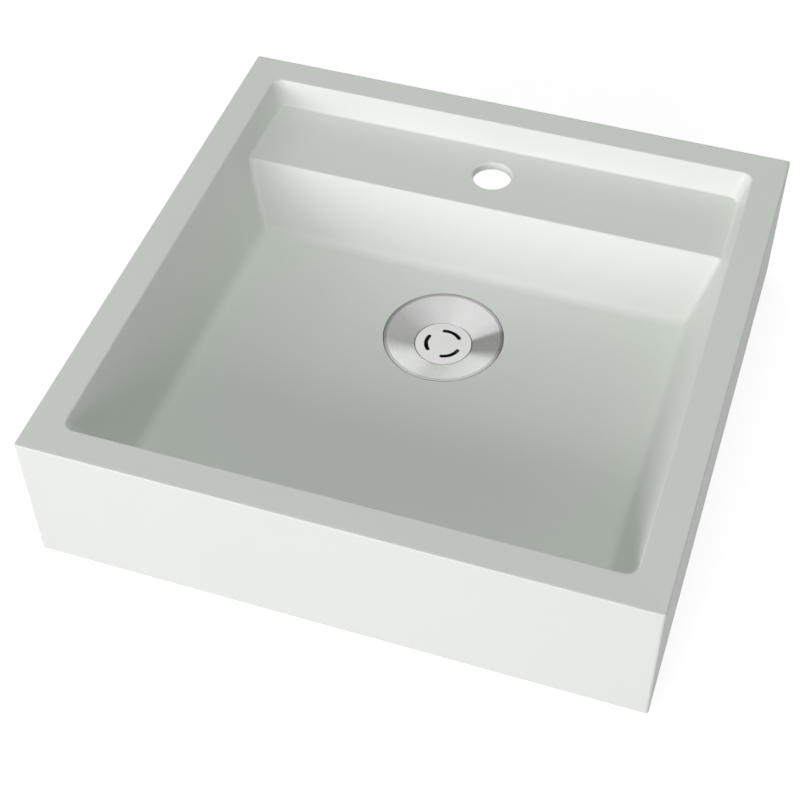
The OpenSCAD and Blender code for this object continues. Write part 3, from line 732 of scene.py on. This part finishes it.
# %% Screw with a thread and a hexagon socket
SCREW_R, HEAD_R, HEAD_Z, HEAD_TOP, SCREW_END = 3.0, 5.0, 24.0, 27.5, -6.0
SCREW_STEPS, SCREW_THREAD, SCREW_PITCH, TIP = 48, 0.5, 1.0, 0.6
HEAD_SOFT, SOCKET_RIM_R, SOCKET_W = 0.8, 3.2, 4.0
SOCKET_ROWS = ((1.08, 0), (1.0, 0.25), (1.0, 2.2), (0.0, 2.5))
ROWS_PER_TURN, FADE_TURNS, THREAD_FLAT = 8, 1.5, 0.125


def threaded(r, depth, pitch, top_z, low_z, steps):
    """A helical thread: the radius falls by depth times a triangle wave of (height / pitch - angle / turn).
    The wave's tips are cut flat, and it fades in over the first turns at both ends."""
    rows = int((top_z - low_z) / pitch * ROWS_PER_TURN)
    angle, z = np.meshgrid(np.linspace(0, 2 * np.pi, steps + 1), np.linspace(top_z, low_z, rows))
    wave = 1 - np.abs(2 * ((z / pitch - angle / (2 * np.pi)) % 1) - 1)
    wave = np.clip((1 + 2 * THREAD_FLAT) * wave - THREAD_FLAT, 0, 1)
    ends = np.clip(np.minimum(top_z - z, z - low_z) / (FADE_TURNS * pitch), 0, 1)
    radius = r - depth * wave * ends
    return np.stack([drain[0] + radius * np.cos(angle), drain[1] + radius * np.sin(angle), z], -1)


def hexagon(flat, angle):
    """Radius of a hexagon at each angle: half its width over the cosine of the angle from a flat's middle."""
    return flat / 2 / np.cos((angle + np.pi / 6) % (np.pi / 3) - np.pi / 6)


head_profile = [(SCREW_R, HEAD_Z), (HEAD_R, HEAD_Z), (HEAD_R, HEAD_TOP), (SOCKET_RIM_R, HEAD_TOP)]
head, _ = turned(rounded(head_profile, HEAD_SOFT, 6), SCREW_STEPS)
angle = np.linspace(0, 2 * np.pi, SCREW_STEPS + 1)
socket = [head[-1]]
for grow, deep in SOCKET_ROWS:
    r = hexagon(SOCKET_W, angle) * grow
    level = np.full(len(angle), HEAD_TOP - deep)
    socket.append(np.column_stack([r * np.cos(angle), DRAIN_Y + r * np.sin(angle), level]))
shank = threaded(SCREW_R, SCREW_THREAD, SCREW_PITCH, HEAD_Z, SCREW_END + TIP, SCREW_STEPS)
tip, _ = turned([(SCREW_R, SCREW_END + TIP), (SCREW_R - TIP, SCREW_END), (0, SCREW_END)], SCREW_STEPS)
screw = make_piece("clamp_screw_steel", [head, np.stack(socket), shank, tip])
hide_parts("clamp_screw")
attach(screw, "basin_body")

# %% [markdown]
# ## The waste body
# The moulded body under the basin is a neck, a collar that presses on the gasket, a funnel and an outlet
# with a pipe thread. Moulded plastic always has rounded corners, and webs stiffen the collar.

# %% Waste body
NECK_R, NECK_OUT, NECK_TOP, NECK_MIDDLE = 26.7, 29.7, 25.8, 12
COLLAR_R, COLLAR_Z, COLLAR_UNDER = 45.0, 15.643, 11.643
PIPE_Z, OUTLET_Z, OUTLET_R, PIPE_R = -5.357, -43.357, 20.955, 17.955
THREAD_TOP, THREAD_END, PIPE_PITCH, PIPE_THREAD = -12.0, -42.4, 2.309, 1.2
BODY_STEPS, BODY_SOFT, WEB_SOFT, BOSS_SOFT = 96, 0.7, 0.35, 0.4
GUSSETS, GUSSET_T, RIBS, RIB_T, IN_WALL = 6, 2.4, 3, 3.0, 1.5


def web_plate(corners, thickness, degrees):
    """A flat web that stands along a radius: its outline is inset a little on both faces, which rounds the
    edges, and each face closes in the middle."""
    c = np.asarray(corners, float)
    ring = np.concatenate([np.linspace(c[i], c[(i + 1) % len(c)], 7)[:-1] for i in range(len(c))])
    ring = np.concatenate([ring, ring[:1]])
    middle = ring[:-1].mean(0)
    inset = ring + (middle - ring) / np.linalg.norm(middle - ring, axis=1, keepdims=True) * WEB_SOFT
    half = thickness / 2
    rows = [(ring * 0 + middle, half), (inset, half), (ring, half - WEB_SOFT),
            (ring, WEB_SOFT - half), (inset, -half), (ring * 0 + middle, -half)]
    flat = np.stack([np.column_stack([p[:, 0], np.full(len(p), y), p[:, 1]]) for p, y in rows])
    return turn_about_drain(flat, degrees)


def bore(z):
    """Inside radius at a height: the neck's above the funnel, the pipe's below it, and even between."""
    return PIPE_R + (NECK_R - PIPE_R) * min(1, max(0, (z - PIPE_Z) / (COLLAR_UNDER - PIPE_Z)))


outer = rounded([(NECK_R, NECK_MIDDLE), (NECK_R, NECK_TOP), (NECK_OUT, NECK_TOP), (NECK_OUT, COLLAR_Z),
                 (COLLAR_R, COLLAR_Z), (COLLAR_R, COLLAR_UNDER), (NECK_OUT, COLLAR_UNDER), (OUTLET_R, PIPE_Z),
                 (OUTLET_R, THREAD_TOP)], BODY_SOFT)
inner = rounded([(OUTLET_R, THREAD_END), (OUTLET_R - 0.5, OUTLET_Z), (PIPE_R, OUTLET_Z), (PIPE_R, PIPE_Z),
                 (NECK_R, COLLAR_UNDER), (NECK_R, NECK_MIDDLE)], BODY_SOFT)
body_top, _ = turned(outer, BODY_STEPS)
body_low, _ = turned(inner, BODY_STEPS)
pipe_thread = threaded(OUTLET_R, PIPE_THREAD, PIPE_PITCH, THREAD_TOP, THREAD_END, BODY_STEPS)
gusset = [(bore(PIPE_Z) + IN_WALL, PIPE_Z), (bore(COLLAR_UNDER) + IN_WALL, COLLAR_UNDER + 0.8),
          (COLLAR_R - 3, COLLAR_UNDER + 0.8), (COLLAR_R - 3, COLLAR_UNDER - 1.5)]
rib = [(5.5, -2), (bore(-2) + IN_WALL, -2), (bore(7) + IN_WALL, 7), (5.5, 7)]
webs = [web_plate(gusset, GUSSET_T, 360 / GUSSETS * k) for k in range(GUSSETS)]
webs += [web_plate(rib, RIB_T, 30 + 360 / RIBS * k) for k in range(RIBS)]
boss_profile = [(5, 9), (8, 9), (8, -5), (3.3, -5), (3.3, -3), (5, -3), (5, 9)]
boss, _ = turned(rounded(boss_profile, BOSS_SOFT), BODY_STEPS)
body = make_piece("waste_body_moulding", [body_top, pipe_thread, body_low, boss, *webs])
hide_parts("waste_body")
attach(body, "basin_body")

# %% [markdown]
# ## Shared effects
# Two effects are used by several finishes, so each is a node group that is built once. Grain is a fine
# cloudy unevenness that gives a value and a bumped normal. Scratches is the same, drawn out
# along one direction, as brushing leaves it.

# %% Nodes and node groups
def fill(tree, made, values):
    """Fills a node's sockets: another node's output is linked, and a constant is set on the socket itself."""
    for key, value in values.items():
        if isinstance(value, bpy.types.NodeSocket):
            tree.links.new(value, made.inputs[key])
        else:
            made.inputs[key].default_value = value
    return made


def node(tree, kind, values=(), **settings):
    """A new node with its settings, and with its sockets filled from {socket: value}."""
    made = tree.nodes.new(kind)
    for key, value in settings.items():
        setattr(made, key, value)
    return fill(tree, made, dict(values))


def noise_group(name, detail, roughness, height):
    """A group that stretches a place, and gives the noise there and a normal that the noise bumps."""
    group = bpy.data.node_groups.new(name, "ShaderNodeTree")
    for label, kind in (("Vector", "Vector"), ("Stretch", "Vector"), ("Scale", "Float"), ("Depth", "Float")):
        group.interface.new_socket(name=label, in_out="INPUT", socket_type="NodeSocket" + kind)
    for label, kind in (("Value", "Float"), ("Normal", "Vector")):
        group.interface.new_socket(name=label, in_out="OUTPUT", socket_type="NodeSocket" + kind)
    given, end = node(group, "NodeGroupInput").outputs, node(group, "NodeGroupOutput")
    factors = {0: given["Vector"], 1: given["Stretch"]}
    drawn = node(group, "ShaderNodeVectorMath", factors, operation="MULTIPLY")
    noise = node(group, "ShaderNodeTexNoise", {
        "Vector": drawn.outputs["Vector"], "Scale": given["Scale"], "Detail": detail, "Roughness": roughness})
    bump = node(group, "ShaderNodeBump", {
        "Strength": given["Depth"], "Distance": height, "Height": noise.outputs["Fac"]})
    fill(group, end, {"Value": noise.outputs["Fac"], "Normal": bump.outputs["Normal"]})
    return group


grain = noise_group("Fine grain", 3.0, 0.6, 0.0004)
scratches = noise_group("Scratches along", 5.0, 0.65, 0.0002)
print("groups:", grain.name, "and", scratches.name)

# %% [markdown]
# Each finish starts from the Principled shader. A value that is the same all over is set on the
# shader's own socket, and only what varies is linked: a colour between two tones, a roughness between
# two limits, and the bumped normal.

# %% From a value to a finish
def new_material(name, **constants):
    """A material with its Principled shader, whose plain values are set on the shader's own sockets."""
    material = bpy.data.materials.new(name)
    material.use_nodes = True
    tree = material.node_tree
    shader = tree.nodes["Principled BSDF"]
    fill(tree, shader, {key.replace("_", " "): value for key, value in constants.items()})
    return material, tree, shader


def effect(tree, group, place, stretch, scale, depth):
    """The outputs of a shared effect in a material, at a place, with its own stretch, scale and depth."""
    made = tree.nodes.new("ShaderNodeGroup")
    made.node_tree = group
    return fill(tree, made, {"Vector": place, "Stretch": stretch, "Scale": scale, "Depth": depth}).outputs


def ramp_between(tree, value, low, high, start=0.3, end=0.7):
    """A colour that runs from low to high as a value goes from start to end."""
    ramp = node(tree, "ShaderNodeValToRGB", {"Fac": value})
    first, second = ramp.color_ramp.elements
    first.position, second.position = start, end
    first.color, second.color = (*low, 1), (*high, 1)
    return ramp.outputs["Color"]


def band(tree, value, low, high, start=0.3, end=0.7):
    """A number that runs from low to high as a value goes from start to end."""
    limits = {"Value": value, "From Min": start, "From Max": end, "To Min": low, "To Max": high}
    return node(tree, "ShaderNodeMapRange", limits).outputs["Result"]


def times(tree, a, b):
    """One colour multiplied by another."""
    both = {"Factor": 1.0, "A": a, "B": b}
    return node(tree, "ShaderNodeMix", both, data_type="RGBA", blend_type="MULTIPLY").outputs["Result"]


def plain_finish(name, low, high, rough, scale, depth, **constants):
    """A material whose colour and roughness follow one fine grain, each between two limits."""
    material, tree, shader = new_material(name, **constants)
    skin = effect(tree, grain, node(tree, "ShaderNodeTexCoord").outputs["Object"], (1, 1, 1), scale, depth)
    fill(tree, shader, {"Base Color": ramp_between(tree, skin["Value"], low, high),
                        "Roughness": band(tree, skin["Value"], *rough), "Normal": skin["Normal"]})
    return material


def dress(piece, material):
    """Puts a material in every slot of a piece, or in a new slot."""
    if not piece.material_slots:
        piece.data.materials.append(material)
    for place in piece.material_slots:
        place.material = material
    print(piece.name, "wears", material.name)


# %% [markdown]
# ## Stone resin
# The basin is marble powder in resin, sanded to a silky matte. Up close it is slightly cloudy, and the
# sanding leaves a grain so fine that only the highlights show it.

# %% Stone resin
CLOUD_DARK, CLOUD_LIGHT = (0.742, 0.794, 0.738), (0.758, 0.808, 0.752)
resin, tree, shader = new_material("Matte marble resin", Specular_IOR_Level=0.5)
where = node(tree, "ShaderNodeTexCoord").outputs["Object"]
clouds = node(tree, "ShaderNodeTexNoise", {"Vector": where, "Scale": 9.0, "Detail": 4.0, "Roughness": 0.55})
grit = effect(tree, grain, where, (1, 1, 1), 1500.0, 0.06)
fill(tree, shader, {"Base Color": ramp_between(tree, clouds.outputs["Fac"], CLOUD_DARK, CLOUD_LIGHT),
                    "Roughness": band(tree, grit["Value"], 0.40, 0.52), "Normal": grit["Normal"]})
dress(basin, resin)

# %% [markdown]
# ## Steel
# The flange is brushed while it turns, so the scratches are circles and the light makes a fan on it.
# The tangent comes from the map, whose first number is the angle round the drain. Brushed steel
# mirrors the whole room, which isn't known, so part of the fan is a painted reflection in the steel's
# colour: a ramp by the angle, whose bright and dark parts lie where the photograph has them. The
# flange's flat lip and the inside of the cup, where little light comes in, have painted shade.

# %% Steel brushed in circles
# Painted reflection of the fan: (degrees round the drain, tone) pairs for the steel's colour.
PAINTED_FAN = [
    (0, 0.33), (24, 0.285), (31, 0.64), (45, 0.73), (75, 0.76), (90, 0.73), (105, 0.67), (120, 0.645),
    (135, 0.57), (150, 0.51), (166, 0.42), (200, 0.40), (224, 0.85), (240, 0.95), (256, 0.95), (271, 0.82),
    (286, 0.87), (305, 0.95), (330, 0.95), (344, 0.84), (352, 0.55), (360, 0.33)]
WANDER = 0.012
# Painted shade on the flat lip: its radii in millimetres and its darkest tone.
LIP_FROM, LIP_TO, LIP_PAINTED_SHADE = 48.9, 49.7, 0.62
# Painted shade inside the cup: its heights in millimetres and its darkest tone.
CUP_FROM, CUP_TO, CUP_PAINTED_SHADE = COVER_Z - 3, COVER_Z - 1, 0.25
turned_steel_with_painted_fan, tree, shader = new_material("Steel brushed in circles, painted fan and shade", Metallic=1.0, Anisotropic=0.75)
lay = node(tree, "ShaderNodeUVMap", uv_map="lay").outputs["UV"]
along = node(tree, "ShaderNodeTangent", direction_type="UV_MAP", uv_map="lay")
fine_lines = effect(tree, scratches, lay, (2.0, 260.0, 1.0), 4.0, 0.25)
share = node(tree, "ShaderNodeSeparateXYZ", {0: lay}).outputs["X"]
share = node(tree, "ShaderNodeMath", {0: fine_lines["Value"], 1: WANDER, 2: share}, operation="MULTIPLY_ADD")
# The painted reflection: the fan's tone by the angle round the drain, from the ramp.
painted_fan = node(tree, "ShaderNodeValToRGB", {"Fac": share.outputs[0]})
while len(painted_fan.color_ramp.elements) < len(PAINTED_FAN):
    painted_fan.color_ramp.elements.new(0.5)
for stop, (degrees, tone_with_painted_light) in zip(painted_fan.color_ramp.elements, PAINTED_FAN):
    stop.position, stop.color = degrees / 360, (tone_with_painted_light, tone_with_painted_light, tone_with_painted_light * 0.995, 1)
where = node(tree, "ShaderNodeTexCoord").outputs["Object"]
from_axis = node(tree, "ShaderNodeVectorMath", {0: where, 1: (0, DRAIN_Y * MM, 0)}, operation="SUBTRACT")
in_plan = node(tree, "ShaderNodeVectorMath", {0: from_axis.outputs[0], 1: (1, 1, 0)}, operation="MULTIPLY")
radius = node(tree, "ShaderNodeVectorMath", {0: in_plan.outputs[0]}, operation="LENGTH").outputs["Value"]
height = node(tree, "ShaderNodeSeparateXYZ", {0: where}).outputs["Z"]
# Where the painted shade of the flat lip falls, by the radius.
lip_painted_shade_mask = band(tree, radius, 0, 1, LIP_FROM * MM, LIP_TO * MM)
# Where the painted shade inside the cup falls, by the height.
cup_painted_shade_mask = band(tree, height, 0, 1, CUP_FROM * MM, CUP_TO * MM)
# The steel's colour: grain times the painted reflection, then times the painted shade of the lip and of the
# cup.
tone_with_painted_light = times(tree, painted_fan.outputs["Color"], ramp_between(tree, fine_lines["Value"], (0.93,) * 3, (1.0,) * 3))
tone_with_painted_light = times(tree, tone_with_painted_light, ramp_between(tree, lip_painted_shade_mask, (1,) * 3, (LIP_PAINTED_SHADE,) * 3, 0, 1))
tone_with_painted_light = times(tree, tone_with_painted_light, ramp_between(tree, cup_painted_shade_mask, (CUP_PAINTED_SHADE,) * 3, (1,) * 3, 0, 1))
fill(tree, shader, {"Base Color": tone_with_painted_light, "Roughness": band(tree, fine_lines["Value"], 0.2, 0.36),
                    "Normal": fine_lines["Normal"], "Tangent": along.outputs["Tangent"]})
dress(flange, turned_steel_with_painted_fan)

# %% [markdown]
# The strainer's plate is brushed straight across before it is stamped, and the screw is plain drawn
# steel, a little uneven all over.

# %% Straight brushing and plain steel
LINE_DARK, LINE_LIGHT = (0.67, 0.67, 0.665), (0.74, 0.74, 0.735)
plate_steel, tree, shader = new_material("Steel brushed straight", Metallic=1.0, Anisotropic=0.4)
where = node(tree, "ShaderNodeTexCoord").outputs["Object"]
fine_lines = effect(tree, scratches, where, (1.0, 60.0, 1.0), 40.0, 0.15)
fill(tree, shader, {"Base Color": ramp_between(tree, fine_lines["Value"], LINE_DARK, LINE_LIGHT),
                    "Roughness": band(tree, fine_lines["Value"], 0.26, 0.4), "Normal": fine_lines["Normal"]})
dress(plate, plate_steel)
screw_steel = plain_finish(
    "Plain stainless steel", (0.62, 0.62, 0.62), (0.76, 0.76, 0.765), (0.2, 0.34), 900.0, 0.1, Metallic=1.0)
dress(screw, screw_steel)

# %% [markdown]
# ## Plastic, rubber and brass
# These sit under the strainer or under the basin. Moulded plastic has a faint orange-peel skin, rubber is
# dull and a little dusty, and the brass insert is turned.

# %% Plastic, rubber and brass
white_plastic = plain_finish(
    "White moulded plastic", (0.76, 0.76, 0.74), (0.82, 0.82, 0.80), (0.34, 0.46), 500.0, 0.12,
    Specular_IOR_Level=0.45)
dark_plastic = plain_finish(
    "Dark moulded plastic", (0.065, 0.065, 0.07), (0.095, 0.095, 0.10), (0.42, 0.58), 500.0, 0.12)
rubber = plain_finish(
    "Black rubber", (0.030, 0.030, 0.030), (0.055, 0.055, 0.055), (0.62, 0.82), 900.0, 0.25,
    Specular_IOR_Level=0.3)
brass = plain_finish(
    "Turned brass", (0.74, 0.58, 0.26), (0.84, 0.69, 0.36), (0.22, 0.36), 700.0, 0.1, Metallic=1.0)
dress(body, white_plastic)
dress(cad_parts["strainer_carrier"], dark_plastic)
dress(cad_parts["thread_insert"], brass)
for name in ("flange_gasket", "grip_ring", "screw_washer", "body_gasket"):
    dress(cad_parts[name], rubber)

# %% [markdown]
# ## Floor
# The basin stands on a counter, which is a wide sheet here. It is cut out under the basin, almost to
# the skirt's outer faces, so that it doesn't lie against the base. Seen from below the sheet is clear,
# so that the underside can be looked at. The camera, mirrors and glass see it near white, and the
# object's shadow still darkens it.

# %% Floor
REACH, HOLE = 6.0, 0.2485
FLOOR_COLOUR, FLOOR_GLOW = 0.42, 0.80


def seen_directly(tree):
    """One for the rays of the camera, of mirrors and of glass, and zero for the light that things get."""
    ray = node(tree, "ShaderNodeLightPath").outputs
    seen = ray["Is Camera Ray"]
    for kind in ("Is Glossy Ray", "Is Transmission Ray"):
        seen = node(tree, "ShaderNodeMath", {0: seen, 1: ray[kind]}, operation="MAXIMUM").outputs[0]
    return seen


square = np.array([[-1, -1], [1, -1], [1, 1], [-1, 1]])
floor_points = np.column_stack([np.concatenate([square * REACH, square * HOLE]), np.zeros(8)])
floor_mesh = bpy.data.meshes.new("counter")
floor_faces = [[i, (i + 1) % 4, 4 + (i + 1) % 4, 4 + i] for i in range(4)]
floor_mesh.from_pydata(floor_points.tolist(), [], floor_faces)
floor = bpy.data.objects.new("counter", floor_mesh)
bpy.context.scene.collection.objects.link(floor)

counter = bpy.data.materials.new("White counter")
counter.use_nodes = True
tree = counter.node_tree
tree.nodes.clear()
matt = node(tree, "ShaderNodeBsdfDiffuse", {"Color": (FLOOR_COLOUR, FLOOR_COLOUR, FLOOR_COLOUR, 1)})
strength = node(tree, "ShaderNodeMath", {0: seen_directly(tree), 1: FLOOR_GLOW}, operation="MULTIPLY")
glow = node(tree, "ShaderNodeEmission", {"Color": (1, 1, 1, 1), "Strength": strength.outputs[0]})
above = node(tree, "ShaderNodeAddShader", {0: matt.outputs[0], 1: glow.outputs[0]})
clear = node(tree, "ShaderNodeBsdfTransparent")
below = node(tree, "ShaderNodeNewGeometry").outputs["Backfacing"]
mix = node(tree, "ShaderNodeMixShader", {"Fac": below, 1: above.outputs[0], 2: clear.outputs[0]})
node(tree, "ShaderNodeOutputMaterial", {"Surface": mix.outputs[0]})
dress(floor, counter)

# %% [markdown]
# ## Light
# Two wide lamps stand low in front, a strong one to the left and a weaker one to the right, so the front
# face is the brightest and the right face the darkest, as in the photograph. A high lamp behind the
# basin lights the rim and the floor, and the steel doesn't mirror it. A lamp below lights the underside
# for views from there. Faint tints bring the front face near neutral and keep the flats a little green.
# An even surround fills in, and mirrors and the camera see it as plain white.

# %% World
AMBIENT = 0.23
world = bpy.data.worlds.new("Even surround")
bpy.context.scene.world = world
world.use_nodes = True
tree = world.node_tree
tree.nodes.clear()
level = node(tree, "ShaderNodeMapRange", {"Value": seen_directly(tree), "To Min": AMBIENT, "To Max": 1.0})
sky = node(tree, "ShaderNodeBackground", {"Color": (1, 1, 1, 1), "Strength": level.outputs["Result"]})
node(tree, "ShaderNodeOutputWorld", {"Surface": sky.outputs[0]})
print("surround:", AMBIENT, "of full white")

# %% [markdown]
# A lamp is placed by a direction from a point in the basin, a distance, a size and a power. The camera
# is aimed the same way, so both share one function.

# %% Lamps
ROSY, GREENISH = (1.0, 0.945, 0.99), (0.975, 1.0, 0.97)
LAMP_TARGET = np.array([0, 0, 0.06])


def aim(obj, place, back, right=None):
    """Puts a lamp or camera at a place, with its Z axis along back, and its X axis along right or level."""
    back = np.asarray(back, float) / np.linalg.norm(back)
    if right is None:
        right = np.cross([0, 0, 1], back)
    right = np.asarray(right, float) / np.linalg.norm(right)
    turn = np.eye(4)
    turn[:3, 0], turn[:3, 1], turn[:3, 2], turn[:3, 3] = right, np.cross(back, right), back, place
    obj.matrix_world = Matrix(turn.tolist())


def soft_lamp(name, toward, distance, size, power, tint):
    """A rectangular lamp that shines on the basin from a direction, with its size, power and colour."""
    data = bpy.data.lights.new(name, "AREA")
    data.shape, data.size, data.size_y, data.energy = "RECTANGLE", *size, power
    data.color = tint
    lamp = bpy.data.objects.new(name, data)
    bpy.context.scene.collection.objects.link(lamp)
    toward = np.asarray(toward, float) / np.linalg.norm(toward)
    aim(lamp, LAMP_TARGET + toward * distance, toward)
    print(name, "shines with", power, "watts from", distance, "metres")
    return lamp


def direction(turn, height):
    """A direction from its turn round the object and its height, in degrees from the front and the floor."""
    a, e = np.radians(turn), np.radians(height)
    return np.array([np.sin(a) * np.cos(e), -np.cos(a) * np.cos(e), np.sin(e)])


soft_lamp("front_left_lamp", direction(-26, 16), 4.5, (3.6, 1.8), 141.0, ROSY)
soft_lamp("front_right_lamp", direction(17, 18), 4.5, (3.0, 1.8), 46.0, ROSY)
rear_lamp = soft_lamp("rear_lamp", direction(-170, 72), 4.5, (2.2, 2.2), 46.0, GREENISH)
rear_lamp.visible_glossy = False
soft_lamp("under_lamp", (0, 0.2, -1), 3.0, (1.4, 1.4), 32.0, ROSY)

# %% [markdown]
# ## Camera
# The camera stands where the lines of the photograph meet best on the object's corners, a little rolled,
# with no lens shift, so that every other view is framed well too.

# %% Camera
AZIMUTH, ELEVATION, ROLL = 19.292, 48.686, np.radians(-1.100)
CAMERA_PLACE, LENS, SENSOR = (0.2910, -0.9121, 1.0869), 74.762, 36.0
back = direction(AZIMUTH, ELEVATION)
level_right = np.array([np.cos(np.radians(AZIMUTH)), np.sin(np.radians(AZIMUTH)), 0])
level_up = np.cross(back, level_right)
camera = bpy.data.objects.new("camera", bpy.data.cameras.new("camera"))
bpy.context.scene.collection.objects.link(camera)
camera.data.lens, camera.data.sensor_width = LENS, SENSOR
aim(camera, CAMERA_PLACE, back, np.cos(ROLL) * level_right + np.sin(ROLL) * level_up)
bpy.context.scene.camera = camera
bpy.context.scene.view_settings.view_transform = "Standard"
print("camera: azimuth", AZIMUTH, "elevation", ELEVATION, "lens", LENS)
